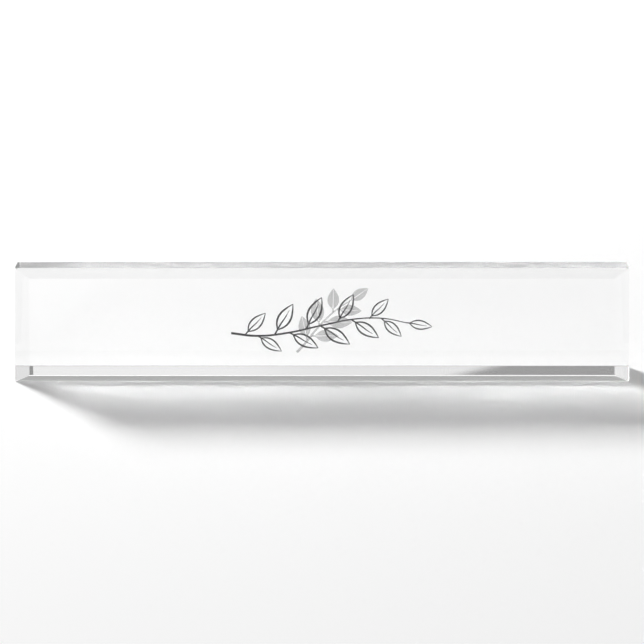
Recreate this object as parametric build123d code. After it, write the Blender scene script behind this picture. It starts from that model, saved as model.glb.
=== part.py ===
import math
import os

from build123d import *

# Desk name plate: a clear cast acrylic wedge with a leaning front, bevelled all round, and an upright
# back, with a thin clear film on the back that carries the print.
# X runs along the plate, Y from front to back, Z up. The origin is at the middle of the underside.

# Driving dimensions, in millimetres and degrees.
plate_length = 254.0     # from end to end
plate_height = 45.2      # from the desk to the top face
foot_depth = 24.8        # from the front's foot to the back, before the bevels are cut
lean_angle = 15.5        # how far the front leans back from upright
front_bevel = 3.45       # set-back of the long front bevels, on the front and on the top and base
end_bevel = 6.3          # width on the front of the bevels at the two ends
edge_radius = 0.55       # polished round along the front's long edges
back_radius = 0.15       # polished round along the back's long edges
finer_ends = 0.8         # the round at the ends against back_radius: finer, so that it turns the corners
film_thickness = 0.25
film_margin = 1.0        # bare border of the back face round the film
film_corner = 1.5        # corner radius of the film

# Places worked out from them, with Y counted from the front's foot.
lean = math.radians(lean_angle)
lean_run = plate_height * math.tan(lean)
half_length = plate_length / 2
bevel_depth = front_bevel * math.cos(lean)
foremost = front_bevel * math.sin(lean)
rearmost = foot_depth + film_thickness
middle_depth = (foremost + rearmost) / 2
past_the_block = plate_height + foot_depth


def wedge_bar():
    # The wedge's side profile with the long front bevels, drawn along the whole plate.
    with BuildSketch(Plane.YZ) as profile:
        Polygon(
            (0, 0),
            (foot_depth, 0),
            (foot_depth, plate_height),
            (lean_run, plate_height),
            align=None,
        )
        sharp_front = profile.vertices().sort_by(Axis.X)[:2]
        chamfer(sharp_front, front_bevel)
        front_corners = profile.vertices().sort_by(Axis.X)[:4]
        fillet(front_corners, edge_radius)
        back_corners = profile.vertices().sort_by(Axis.X)[-2:]
        fillet(back_corners, back_radius)
    return extrude(profile.sketch, half_length, both=True)


def end_bevel_cut():
    # What the bevel takes off the right-hand end, drawn square to the leaning front: a triangle whose long
    # side is the bevel, carried on past the front and the end. The bevel meets the end face as deep behind
    # the front as the long bevels meet the top and the base, so the mitres close at the corners.
    across_front = Plane(
        origin=(half_length, 0, 0),
        x_dir=(1, 0, 0),
        z_dir=(0, math.sin(lean), math.cos(lean)),
    )
    with BuildSketch(across_front) as corner:
        Polygon(
            (-2 * end_bevel, -bevel_depth),
            (end_bevel, -bevel_depth),
            (end_bevel, 2 * bevel_depth),
            align=None,
        )
    return extrude(corner.sketch, past_the_block, both=True)


def acrylic_block():
    right_cut = end_bevel_cut()
    block = wedge_bar() - right_cut - mirror(right_cut, Plane.YZ)
    from_left = block.faces().sort_by(Axis.X)
    ends_and_bevels = from_left[:2] + from_left[-2:]
    return fillet(ends_and_bevels.edges(), back_radius * finer_ends)


def print_film():
    # The film lies flat on the back face, inside its rounded edges.
    back_face = Plane(
        origin=(0, foot_depth, plate_height / 2),
        x_dir=(-1, 0, 0),
        z_dir=(0, 1, 0),
    )
    film_length = plate_length - 2 * (back_radius + film_margin)
    film_height = plate_height - 2 * (back_radius + film_margin)
    with BuildSketch(back_face) as outline:
        RectangleRounded(film_length, film_height, film_corner)
    return extrude(outline.sketch, film_thickness)


os.makedirs("parts", exist_ok=True)
centred = Pos(0, -middle_depth, 0)
export_step(centred * acrylic_block(), "parts/acrylic_block.step")
export_step(centred * print_film(), "parts/print_film.step")
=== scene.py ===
import math

import bpy
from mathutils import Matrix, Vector


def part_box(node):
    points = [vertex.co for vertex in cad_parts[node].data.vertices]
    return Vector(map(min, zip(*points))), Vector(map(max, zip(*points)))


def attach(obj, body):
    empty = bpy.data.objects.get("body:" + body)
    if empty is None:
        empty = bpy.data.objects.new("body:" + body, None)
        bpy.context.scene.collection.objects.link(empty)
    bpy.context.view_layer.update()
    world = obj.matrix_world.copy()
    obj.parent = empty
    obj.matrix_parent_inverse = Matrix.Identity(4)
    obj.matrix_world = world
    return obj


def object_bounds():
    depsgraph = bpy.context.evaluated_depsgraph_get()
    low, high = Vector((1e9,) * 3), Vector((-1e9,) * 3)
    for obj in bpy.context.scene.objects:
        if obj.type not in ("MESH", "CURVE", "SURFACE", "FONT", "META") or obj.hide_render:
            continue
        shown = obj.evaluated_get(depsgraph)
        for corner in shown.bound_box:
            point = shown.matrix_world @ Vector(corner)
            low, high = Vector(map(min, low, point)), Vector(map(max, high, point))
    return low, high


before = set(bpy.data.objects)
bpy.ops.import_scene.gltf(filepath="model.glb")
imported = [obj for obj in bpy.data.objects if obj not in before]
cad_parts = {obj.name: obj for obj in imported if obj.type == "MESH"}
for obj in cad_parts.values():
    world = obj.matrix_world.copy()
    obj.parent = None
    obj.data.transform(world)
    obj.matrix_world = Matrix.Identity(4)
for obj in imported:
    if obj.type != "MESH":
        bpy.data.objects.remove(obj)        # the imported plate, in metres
cadLow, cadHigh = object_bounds()
mm = 0.001
print("frame loaded:", sorted(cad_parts))


def linear(hexColour):
    channels = [int(hexColour[i:i + 2], 16) / 255 for i in (1, 3, 5)]
    curve = [c / 12.92 if c <= 0.04045 else ((c + 0.055) / 1.055) ** 2.4 for c in channels]
    return (*curve, 1.0)


def addNode(tree, kind, settings=None, values=None, links=None):
    node = tree.nodes.new(kind)
    for name, value in (settings or {}).items():
        setattr(node, name, value)
    for socket, value in (values or {}).items():
        node.inputs[socket].default_value = value
    for socket, source in (links or {}).items():
        tree.links.new(source, node.inputs[socket])
    return node


def newMaterial(name):
    material = bpy.data.materials.new(name)
    material.use_nodes = True
    material.node_tree.nodes.clear()
    return material, material.node_tree


def deselectAll():
    bpy.ops.object.select_all(action="DESELECT")


def dress(piece, material):
    piece.data.materials.clear()
    piece.data.materials.append(material)


# Clear cast acrylic, diamond-polished: bends light like window glass but a little less, looks colourless
# through its thickness and goes faintly grey along its length. Cell casting leaves a slow waviness, and
# wiping leaves soft smears and hairlines that show only in the gloss.
acrylic = {
    "colour": "#fefefe",
    "ior": 1.49,
    "glossiest": 0.0,
    "dullest": 0.012,
    "smearSize": 18 * mm,
    "hairlineLength": 9 * mm,
    "hairlineWidth": 0.4 * mm,       # real ones are finer, drawn as wide as the render can show
    "hairlineTurn": 12.0,            # degrees from the plate's length
    "markRange": (0.25, 0.5),        # from no mark to a full one
    "waveSize": 45 * mm,
    "waveHeight": 0.004 * mm,
    "tint": "#e7e8e7",
    "tintDepth": 160 * mm,
}


def acrylicMaterial():
    material, tree = newMaterial("clear cast acrylic")
    place = addNode(tree, "ShaderNodeTexCoord").outputs["Object"]
    smear = addNode(tree, "ShaderNodeTexNoise", None, {
        "Scale": 1 / acrylic["smearSize"], "Detail": 3.0, "Roughness": 0.55}, {"Vector": place})
    across = 1 / acrylic["hairlineWidth"]
    stretched = addNode(tree, "ShaderNodeMapping", None, {
        "Rotation": (0.0, math.radians(acrylic["hairlineTurn"]), 0.0),
        "Scale": (1 / acrylic["hairlineLength"], across, across)}, {"Vector": place})
    hairline = addNode(tree, "ShaderNodeTexNoise", None, {
        "Scale": 1.0, "Detail": 1.0}, {"Vector": stretched.outputs["Vector"]})
    marks = addNode(tree, "ShaderNodeMath", {"operation": "MULTIPLY"}, None, {
        0: smear.outputs["Fac"], 1: hairline.outputs["Fac"]})
    gloss = addNode(tree, "ShaderNodeMapRange", {"interpolation_type": "SMOOTHSTEP"}, {
        "From Min": acrylic["markRange"][0], "From Max": acrylic["markRange"][1],
        "To Min": acrylic["glossiest"], "To Max": acrylic["dullest"]}, {"Value": marks.outputs["Value"]})
    wave = addNode(tree, "ShaderNodeTexNoise", None, {
        "Scale": 1 / acrylic["waveSize"], "Detail": 0.0}, {"Vector": place})
    waviness = addNode(tree, "ShaderNodeBump", None, {
        "Strength": 1.0, "Distance": acrylic["waveHeight"]}, {"Height": wave.outputs["Fac"]})
    shader = addNode(tree, "ShaderNodeBsdfPrincipled", None, {
        "Base Color": linear(acrylic["colour"]), "IOR": acrylic["ior"], "Transmission Weight": 1.0,
    }, {"Roughness": gloss.outputs["Result"], "Normal": waviness.outputs["Normal"]})
    depth = addNode(tree, "ShaderNodeVolumeAbsorption", None, {
        "Color": linear(acrylic["tint"]), "Density": 1 / acrylic["tintDepth"]})
    addNode(tree, "ShaderNodeOutputMaterial", None, None, {
        "Surface": shader.outputs["BSDF"], "Volume": depth.outputs["Volume"]})
    return material


# Clear polyester film, laid on wet: almost invisible, with a faint satin where the adhesive dried
# unevenly.
film = {
    "colour": "#f6f8f8",
    "ior": 1.5,
    "veil": 0.02,
    "glossiest": 0.12,
    "dullest": 0.3,
    "adhesiveSize": 7 * mm,
    "adhesiveRange": (0.3, 0.7),     # from thin to thick
}


def filmMaterial():
    material, tree = newMaterial("clear polyester film")
    place = addNode(tree, "ShaderNodeTexCoord").outputs["Object"]
    adhesive = addNode(tree, "ShaderNodeTexNoise", None, {
        "Scale": 1 / film["adhesiveSize"], "Detail": 4.0}, {"Vector": place})
    satin = addNode(tree, "ShaderNodeMapRange", None, {
        "From Min": film["adhesiveRange"][0], "From Max": film["adhesiveRange"][1],
        "To Min": film["glossiest"], "To Max": film["dullest"]}, {"Value": adhesive.outputs["Fac"]})
    shader = addNode(tree, "ShaderNodeBsdfPrincipled", None, {
        "Base Color": linear(film["colour"]), "IOR": film["ior"], "Alpha": film["veil"],
    }, {"Roughness": satin.outputs["Result"]})
    addNode(tree, "ShaderNodeOutputMaterial", None, None, {"Surface": shader.outputs["BSDF"]})
    return material


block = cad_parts["acrylic_block"]
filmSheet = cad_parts["print_film"]
dress(block, acrylicMaterial())
dress(filmSheet, filmMaterial())
# Stuck down wet, the film is one with the block's back face: light inside the block doesn't meet it.
filmSheet.visible_transmission = False
filmSheet.visible_glossy = False
print("block and film dressed")

# The print on the film's outer side: a sprig of outlined leaves in black, and behind it a sprig of full
# leaves in light grey that crosses it. Leaf shapes are given as shares of the leaf's length and of half
# its width, and weights as how hard the pen presses along a line.
prints = {
    "centre": 17.4 * mm,         # height above the desk, so that it looks centred through the front
    "inkHeight": 0.04 * mm,
    "filmGap": 0.01 * mm,
    "stemWeights": (1.25, 0.5),  # at the foot and at the tip
    "stalkLength": 0.16,         # from the stem to the leaf, as a share of the leaf's length
    "lineSteps": 10,
    "lineRound": 2,
    "patchSteps": 8,
    "weld": 0.0005 * mm,
}
blackSprig = {
    "line": 0.8 * mm,
    "stem": [(-38, -3.2), (-27, -4.4), (-14, -3.0), (0, 0.2), (14, 3.0), (26, 3.2), (35, 1.4)],
    "leafLength": 13.0 * mm,
    "leafWidth": 5.0 * mm,
    "edge": [(0, 0), (0.24, 0.82), (0.50, 1.0), (0.78, 0.58), (1.0, 0)],
    "edgeWeights": (0.7, 0.95, 1.05, 0.85, 0.4),
    "vein": [(-0.16, 0), (0.2, 0.05), (0.5, -0.04), (0.76, 0)],
    "veinWeights": (0.9, 0.8, 0.6, 0.25),
    # place along the stem, side, angle to the stem in degrees, size
    "leaves": [(0.08, 1, 54, 0.84), (0.15, -1, 40, 0.80), (0.25, 1, 54, 1.0), (0.33, -1, 42, 0.92),
               (0.43, 1, 52, 1.0), (0.51, -1, 46, 0.98), (0.61, 1, 50, 0.92), (0.69, -1, 46, 0.92),
               (0.79, 1, 46, 0.78), (0.86, -1, 44, 0.76), (1.0, 1, 2, 0.74)],
}
greySprig = {
    "line": 0.9 * mm,
    "stem": [(-10.5, -11.6), (-7.0, -7.6), (-3.0, -2.4), (1.5, 2.8), (6.5, 7.4), (11, 10.4)],
    "leafLength": 10.5 * mm,
    "leafWidth": 5.4 * mm,
    "edge": [(0.26, 0.86), (0.52, 1.0), (0.80, 0.55)],
    "midrib": 0.34 * mm,         # bare gap between the leaf's halves, at its foot
    "tipGap": 0.3,               # what is left of it at the tip
    "stalk": [-0.14, -0.05, 0.05],
    "stalkWeights": (0.9, 0.8, 0.6),
    "leaves": [(0.22, 1, 50, 0.90), (0.30, -1, 52, 0.94), (0.48, 1, 48, 1.0), (0.56, -1, 50, 1.0),
               (0.74, 1, 46, 0.88), (0.81, -1, 46, 0.86), (1.0, 1, 2, 0.84)],
}


def drawLine(points, width, weights):
    # a pen line on the floor plane
    deselectAll()
    bpy.ops.curve.primitive_bezier_curve_add()
    line = bpy.context.object
    knots = line.data.splines[0].bezier_points
    knots.add(len(points) - len(knots))
    for knot, place, weight in zip(knots, points, weights):
        knot.handle_left_type = knot.handle_right_type = "AUTO"
        knot.co = (*place, 0)
        knot.radius = weight
    line.data.resolution_u = prints["lineSteps"]
    line.data.bevel_depth = width / 2
    line.data.bevel_resolution = prints["lineRound"]
    line.data.use_fill_caps = True
    bpy.ops.object.convert(target="MESH")
    return bpy.context.object


def drawPatch(points, sharp):
    # a patch of ink on the floor plane, with corners at the sharp points
    deselectAll()
    bpy.ops.curve.primitive_bezier_circle_add()
    patch = bpy.context.object
    patch.data.dimensions = "2D"
    patch.data.fill_mode = "BOTH"
    knots = patch.data.splines[0].bezier_points
    knots.add(len(points) - len(knots))
    for i, (knot, place) in enumerate(zip(knots, points)):
        knot.handle_left_type = knot.handle_right_type = "VECTOR" if i in sharp else "AUTO"
        knot.co = (*place, 0)
    patch.data.resolution_u = prints["patchSteps"]
    patch.data.extrude = prints["inkHeight"] / 2
    bpy.ops.object.convert(target="MESH")
    return bpy.context.object


def joined(pieces, name):
    deselectAll()
    for piece in pieces:
        piece.select_set(True)
    bpy.context.view_layer.objects.active = pieces[0]
    bpy.ops.object.join()
    whole = bpy.context.object
    whole.name = whole.data.name = name
    return whole


def outlinedLeaf(sprig):
    long, wide = sprig["leafLength"], sprig["leafWidth"] / 2
    lines = []
    for side in (1, -1):
        edge = [(x * long, side * y * wide) for x, y in sprig["edge"]]
        lines.append(drawLine(edge, sprig["line"], sprig["edgeWeights"]))
    vein = [(x * long, y * wide) for x, y in sprig["vein"]]
    lines.append(drawLine(vein, sprig["line"], sprig["veinWeights"]))
    return joined(lines, "outlinedLeaf")


def fullLeaf(sprig):
    long, wide, gap = sprig["leafLength"], sprig["leafWidth"] / 2, sprig["midrib"] / 2
    edge = [(x * long, y * wide) for x, y in sprig["edge"]]
    edge = [(0, gap), *edge, (long, gap * sprig["tipGap"])]
    ends = (0, len(edge) - 1)
    parts = [drawPatch([(x, side * y) for x, y in edge], ends) for side in (1, -1)]
    stalk = [(x * long, 0) for x in sprig["stalk"]]
    parts.append(drawLine(stalk, sprig["line"], sprig["stalkWeights"]))
    return joined(parts, "fullLeaf")


def alongStem(stem, part):
    # the point and direction at a share of the stem's length
    runs = [math.dist(a, b) for a, b in zip(stem, stem[1:])]
    left = part * sum(runs)
    for a, b, run in zip(stem, stem[1:], runs):
        if left <= run or b is stem[-1]:
            share = left / run
            place = [p + (q - p) * share for p, q in zip(a, b)]
            return place, math.atan2(b[1] - a[1], b[0] - a[0])
        left -= run


def drawSprig(name, sprig, leaf):
    stem = [(x * mm, y * mm) for x, y in sprig["stem"]]
    atFoot, atTip = prints["stemWeights"]
    weights = [atFoot + (atTip - atFoot) * i / (len(stem) - 1) for i in range(len(stem))]
    pieces = [drawLine(stem, sprig["line"], weights)]
    for part, side, angle, size in sprig["leaves"]:
        place, heading = alongStem(stem, part)
        deselectAll()
        leaf.select_set(True)
        bpy.context.view_layer.objects.active = leaf
        bpy.ops.object.duplicate()
        copy = bpy.context.object
        copy.scale = (size, size, 1)
        copy.rotation_euler.z = heading + side * math.radians(angle)
        reach = prints["stalkLength"] * size * sprig["leafLength"]
        turn = copy.rotation_euler.z
        copy.location = (place[0] + reach * math.cos(turn), place[1] + reach * math.sin(turn), 0)
        pieces.append(copy)
    deselectAll()
    leaf.select_set(True)
    bpy.ops.object.delete()
    return joined(pieces, name)


# Inks, laid on by a flatbed printer and cured: nearly matt, a little uneven in depth where the drops ran
# together, and the grey so thin that light comes through it.
blackInk = {
    "dense": "#0d0d0f",
    "thin": "#232326",
    "cover": 1.0,
    "ior": 1.48,
    "dropSize": 0.7 * mm,        # real drops are finer, drawn as coarse as the render can show
    "dropHeight": 0.006 * mm,
    "depthRange": (0.32, 0.68),  # from dense to thin
    "glossiest": 0.38,
    "dullest": 0.62,
}
greyInk = {
    "dense": "#8f8f92",
    "thin": "#a3a3a5",
    "cover": 0.3,
    "ior": 1.48,
    "dropSize": 0.7 * mm,
    "dropHeight": 0.004 * mm,
    "depthRange": (0.32, 0.68),
    "glossiest": 0.4,
    "dullest": 0.65,
}


def inkMaterial(name, ink):
    material, tree = newMaterial(name)
    place = addNode(tree, "ShaderNodeTexCoord").outputs["Object"]
    drops = addNode(tree, "ShaderNodeTexNoise", None, {
        "Scale": 1 / ink["dropSize"], "Detail": 3.0, "Roughness": 0.6}, {"Vector": place})
    depth = addNode(tree, "ShaderNodeMapRange", None, {
        "From Min": ink["depthRange"][0], "From Max": ink["depthRange"][1]}, {
        "Value": drops.outputs["Fac"]})
    colour = addNode(tree, "ShaderNodeMix", {"data_type": "RGBA"}, {
        6: linear(ink["dense"]), 7: linear(ink["thin"])}, {0: depth.outputs["Result"]})
    satin = addNode(tree, "ShaderNodeMapRange", None, {
        "To Min": ink["glossiest"], "To Max": ink["dullest"]}, {"Value": depth.outputs["Result"]})
    grain = addNode(tree, "ShaderNodeBump", None, {
        "Strength": 1.0, "Distance": ink["dropHeight"]}, {"Height": drops.outputs["Fac"]})
    shader = addNode(tree, "ShaderNodeBsdfPrincipled", None, {
        "IOR": ink["ior"], "Alpha": ink["cover"]}, {
        "Base Color": colour.outputs[2], "Roughness": satin.outputs["Result"],
        "Normal": grain.outputs["Normal"]})
    addNode(tree, "ShaderNodeOutputMaterial", None, None, {"Surface": shader.outputs["BSDF"]})
    return material


def layOnFilm(drawing, layer, material):
    # flattened, stood upright and laid on the film's outer side
    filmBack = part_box("print_film")[1][1]
    middle = filmBack + prints["filmGap"] + (layer + 0.5) * prints["inkHeight"]
    heights = [v.co.z for v in drawing.data.vertices]
    drawing.scale = (1, 1, prints["inkHeight"] / (max(heights) - min(heights)))
    drawing.rotation_euler.x = math.radians(90)
    drawing.location = (0, middle, prints["centre"])
    deselectAll()
    drawing.select_set(True)
    bpy.context.view_layer.objects.active = drawing
    bpy.ops.object.transform_apply(location=True, rotation=True, scale=True)
    bpy.ops.object.mode_set(mode="EDIT")
    bpy.ops.mesh.select_all(action="SELECT")
    bpy.ops.mesh.remove_doubles(threshold=prints["weld"])
    bpy.ops.mesh.normals_make_consistent(inside=False)
    bpy.ops.object.mode_set(mode="OBJECT")
    dress(drawing, material)
    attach(drawing, "root")


layOnFilm(drawSprig("black_sprig", blackSprig, outlinedLeaf(blackSprig)), 0,
          inkMaterial("black UV ink", blackInk))
layOnFilm(drawSprig("grey_sprig", greySprig, fullLeaf(greySprig)), 1,
          inkMaterial("thin grey UV ink", greyInk))
print("print laid on the film")


# The floor is matt white sweep paper, which takes the shadow and the light that the block throws.
floorSet = {
    "size": 12.0,
    "colour": "#f6f6f6",
    "roughness": 0.9,
    "specular": 0.1,
    "airGap": 0.1 * mm,      # the plate rests on a few high spots, so its base still mirrors
    "glow": 0.06,            # seen straight
    "glowThrough": 0.02,     # seen in the plate or through it
}
white = linear("#ffffff")


def makeFloor():
    deselectAll()
    bpy.ops.mesh.primitive_plane_add(size=floorSet["size"], location=(0, 0, -floorSet["airGap"]))
    floor = bpy.context.object
    floor.name = "floor"
    material, tree = newMaterial("white sweep paper")
    path = addNode(tree, "ShaderNodeLightPath")
    through = addNode(tree, "ShaderNodeMath", {"operation": "ADD"}, None, {
        0: path.outputs["Is Glossy Ray"], 1: path.outputs["Is Transmission Ray"]})
    faint = addNode(tree, "ShaderNodeMath", {"operation": "MULTIPLY"}, {1: floorSet["glowThrough"]}, {
        0: through.outputs["Value"]})
    glow = addNode(tree, "ShaderNodeMath", {"operation": "MULTIPLY_ADD"}, {1: floorSet["glow"]}, {
        0: path.outputs["Is Camera Ray"], 2: faint.outputs["Value"]})
    paper = addNode(tree, "ShaderNodeBsdfPrincipled", None, {
        "Base Color": linear(floorSet["colour"]), "Roughness": floorSet["roughness"],
        "Specular IOR Level": floorSet["specular"], "Emission Color": white}, {
        "Emission Strength": glow.outputs["Value"]})
    addNode(tree, "ShaderNodeOutputMaterial", None, None, {"Surface": paper.outputs["BSDF"]})
    dress(floor, material)


# The room: grey walls, lighter at their foot, with a lit wall from behind the camera round to the right.
# Each rise is a height above the floor, as the sine of its angle.
studio = {
    "walls": 0.25,
    "foot": 0.43,
    "footRise": (0.1, 0.2),
    "litWall": 1.2,
    "litRise": (0.4, 0.6),
    "litSide": (0.6, -1.0, 0.0),
    "litSpread": (0.55, 0.85),       # from the plain walls to the lit one, along litSide
    "overhead": 0.2,
    "overheadRise": (0.8, 0.92),
}


def makeWorld():
    world = bpy.data.worlds.new("studio")
    bpy.context.scene.world = world
    world.use_nodes = True
    tree = world.node_tree
    tree.nodes.clear()
    smooth = {"interpolation_type": "SMOOTHSTEP"}
    direction = addNode(tree, "ShaderNodeTexCoord").outputs["Generated"]
    rise = addNode(tree, "ShaderNodeSeparateXYZ", None, None, {"Vector": direction}).outputs["Z"]
    plainWall = addNode(tree, "ShaderNodeMapRange", smooth, {
        "From Min": studio["footRise"][0], "From Max": studio["footRise"][1],
        "To Min": studio["foot"], "To Max": studio["walls"]}, {"Value": rise})
    litWall = addNode(tree, "ShaderNodeMapRange", smooth, {
        "From Min": studio["litRise"][0], "From Max": studio["litRise"][1],
        "To Min": studio["litWall"], "To Max": studio["walls"]}, {"Value": rise})
    sideways = addNode(tree, "ShaderNodeVectorMath", {"operation": "DOT_PRODUCT"}, {
        1: studio["litSide"]}, {0: direction})
    litShare = addNode(tree, "ShaderNodeMapRange", smooth, {
        "From Min": studio["litSpread"][0], "From Max": studio["litSpread"][1]}, {
        "Value": sideways.outputs["Value"]})
    room = addNode(tree, "ShaderNodeMix", {"data_type": "FLOAT"}, None, {
        0: litShare.outputs["Result"], 2: plainWall.outputs["Result"], 3: litWall.outputs["Result"]})
    overheadShare = addNode(tree, "ShaderNodeMapRange", smooth, {
        "From Min": studio["overheadRise"][0], "From Max": studio["overheadRise"][1]}, {"Value": rise})
    sky = addNode(tree, "ShaderNodeMix", {"data_type": "FLOAT"}, {3: studio["overhead"]}, {
        0: overheadShare.outputs["Result"], 2: room.outputs[0]})
    light = addNode(tree, "ShaderNodeBackground", None, {"Color": white}, {"Strength": sky.outputs[0]})
    addNode(tree, "ShaderNodeOutputWorld", None, None, {"Surface": light.outputs["Background"]})


# Two glowing cards behind the plate, one above the other, that only the plate mirrors and shows: painted
# reflections of lit white cards, which light nothing. The upper one glows brightly up to a slanted edge
# and dimly past it, as painted shade.
cards = {
    "distance": 1.2,
    "left": -0.2895,
    "right": 0.58,
    "lower": (0.15, 0.365),      # foot and top, above the floor
    "lowerLevel": 2.2,
    "upper": (0.365, 0.85),
    "edge": (0.127, 0.612),      # a point on the edge of the painted light: to the right, and above the floor
    "slant": 0.27,
    "soft": 0.006,
    "bright": 0.85,
    "dim": 0.775,
    "fade": (-0.11, 0.01),       # painted light, from bright to dim, along the plate
    "shade": 0.29,               # painted shade, past the edge of the painted light
}


def standCard(name, span, material):
    deselectAll()
    middle = ((cards["left"] + cards["right"]) / 2, cards["distance"], sum(span) / 2)
    bpy.ops.mesh.primitive_plane_add(size=1, location=middle, rotation=(math.radians(90), 0, 0))
    board = bpy.context.object
    board.name = name
    board.scale = (cards["right"] - cards["left"], span[1] - span[0], 1)
    bpy.ops.object.transform_apply(location=True, rotation=True, scale=True)
    dress(board, material)
    board.visible_camera = False
    board.visible_diffuse = False
    board.visible_shadow = False


def makeCards():
    plain, tree = newMaterial("glowing card")
    # the lower card glows evenly: painted light seen in the plate, not a lamp
    glow = addNode(tree, "ShaderNodeEmission", None, {"Color": white, "Strength": cards["lowerLevel"]})
    addNode(tree, "ShaderNodeOutputMaterial", None, None, {"Surface": glow.outputs["Emission"]})
    standCard("lowerCard", cards["lower"], plain)

    half, tree = newMaterial("half-glowing card")
    place = addNode(tree, "ShaderNodeTexCoord").outputs["Object"]
    along = addNode(tree, "ShaderNodeSeparateXYZ", None, None, {"Vector": place})
    fade = addNode(tree, "ShaderNodeMapRange", {"interpolation_type": "SMOOTHSTEP"}, {
        "From Min": cards["fade"][0], "From Max": cards["fade"][1],
        "To Min": cards["bright"], "To Max": cards["dim"]}, {"Value": along.outputs["X"]})
    height = addNode(tree, "ShaderNodeMath", {"operation": "MULTIPLY_ADD"}, {1: cards["slant"]}, {
        0: along.outputs["X"], 2: along.outputs["Z"]})
    edge = cards["edge"][1] + cards["slant"] * cards["edge"][0]
    past = addNode(tree, "ShaderNodeMapRange", {"interpolation_type": "SMOOTHSTEP"}, {
        "From Min": edge - cards["soft"], "From Max": edge + cards["soft"]}, {
        "Value": height.outputs["Value"]})
    # painted shade: the glow falls to the shade level past the slanted edge
    level = addNode(tree, "ShaderNodeMix", {"data_type": "FLOAT"}, {3: cards["shade"]}, {
        0: past.outputs["Result"], 2: fade.outputs["Result"]})
    glow = addNode(tree, "ShaderNodeEmission", None, {"Color": white}, {"Strength": level.outputs[0]})
    addNode(tree, "ShaderNodeOutputMaterial", None, None, {"Surface": glow.outputs["Emission"]})
    standCard("upperCard", cards["upper"], half)


keyLight = {
    "turn": 36.0,            # degrees left of straight behind
    "height": 26.0,          # degrees above the floor
    "distance": 4.0,
    "size": 0.75,
    "power": 246.0,
}


def makeKey():
    turn = math.radians(keyLight["turn"])
    height = math.radians(keyLight["height"])
    level = math.cos(height)
    towards = Vector((-math.sin(turn) * level, math.cos(turn) * level, math.sin(height)))
    lamp = bpy.data.lights.new("key", "AREA")
    lamp.size = keyLight["size"]
    lamp.energy = keyLight["power"]
    key = bpy.data.objects.new("key", lamp)
    bpy.context.scene.collection.objects.link(key)
    key.location = towards * keyLight["distance"]
    key.rotation_euler = towards.to_track_quat("Z", "Y").to_euler()
    key.visible_camera = False


photo = {
    "elevation": 17.5,       # degrees above the floor
    "distance": 0.95,
    "sensor": 36,            # millimetres across
    "frameSize": 644,        # pixels
    "plateWidth": 612.0,     # pixels from end to end, at the middle of the depth
    "aim": (0.0, 0.0, 22.7 * mm),
}


def makeCamera():
    lens = bpy.data.cameras.new("photo")
    camera = bpy.data.objects.new("photo", lens)
    bpy.context.scene.collection.objects.link(camera)
    elevation = math.radians(photo["elevation"])
    back = Vector((0, -math.cos(elevation), math.sin(elevation)))
    camera.location = Vector(photo["aim"]) + back * photo["distance"]
    camera.rotation_euler = back.to_track_quat("Z", "Y").to_euler()
    length = cadHigh.x - cadLow.x
    filled = photo["plateWidth"] / photo["frameSize"]
    lens.sensor_width = photo["sensor"]
    lens.lens = photo["sensor"] * filled * photo["distance"] / length
    bpy.context.scene.camera = camera


# Light goes to and fro inside the block many times before it leaves.
lightPaths = {
    "bounces": 24,
    "brightest": 40.0,       # stray sparkles are held to this
    "blur": 0.215,           # softens the light that the block throws on the floor
}

makeFloor()
makeWorld()
makeCards()
makeKey()
makeCamera()
scene = bpy.context.scene
scene.view_settings.view_transform = "Standard"
scene.cycles.max_bounces = lightPaths["bounces"]
scene.cycles.transmission_bounces = lightPaths["bounces"]
scene.cycles.glossy_bounces = lightPaths["bounces"]
scene.cycles.sample_clamp_indirect = lightPaths["brightest"]
scene.cycles.blur_glossy = lightPaths["blur"]
print("studio ready")
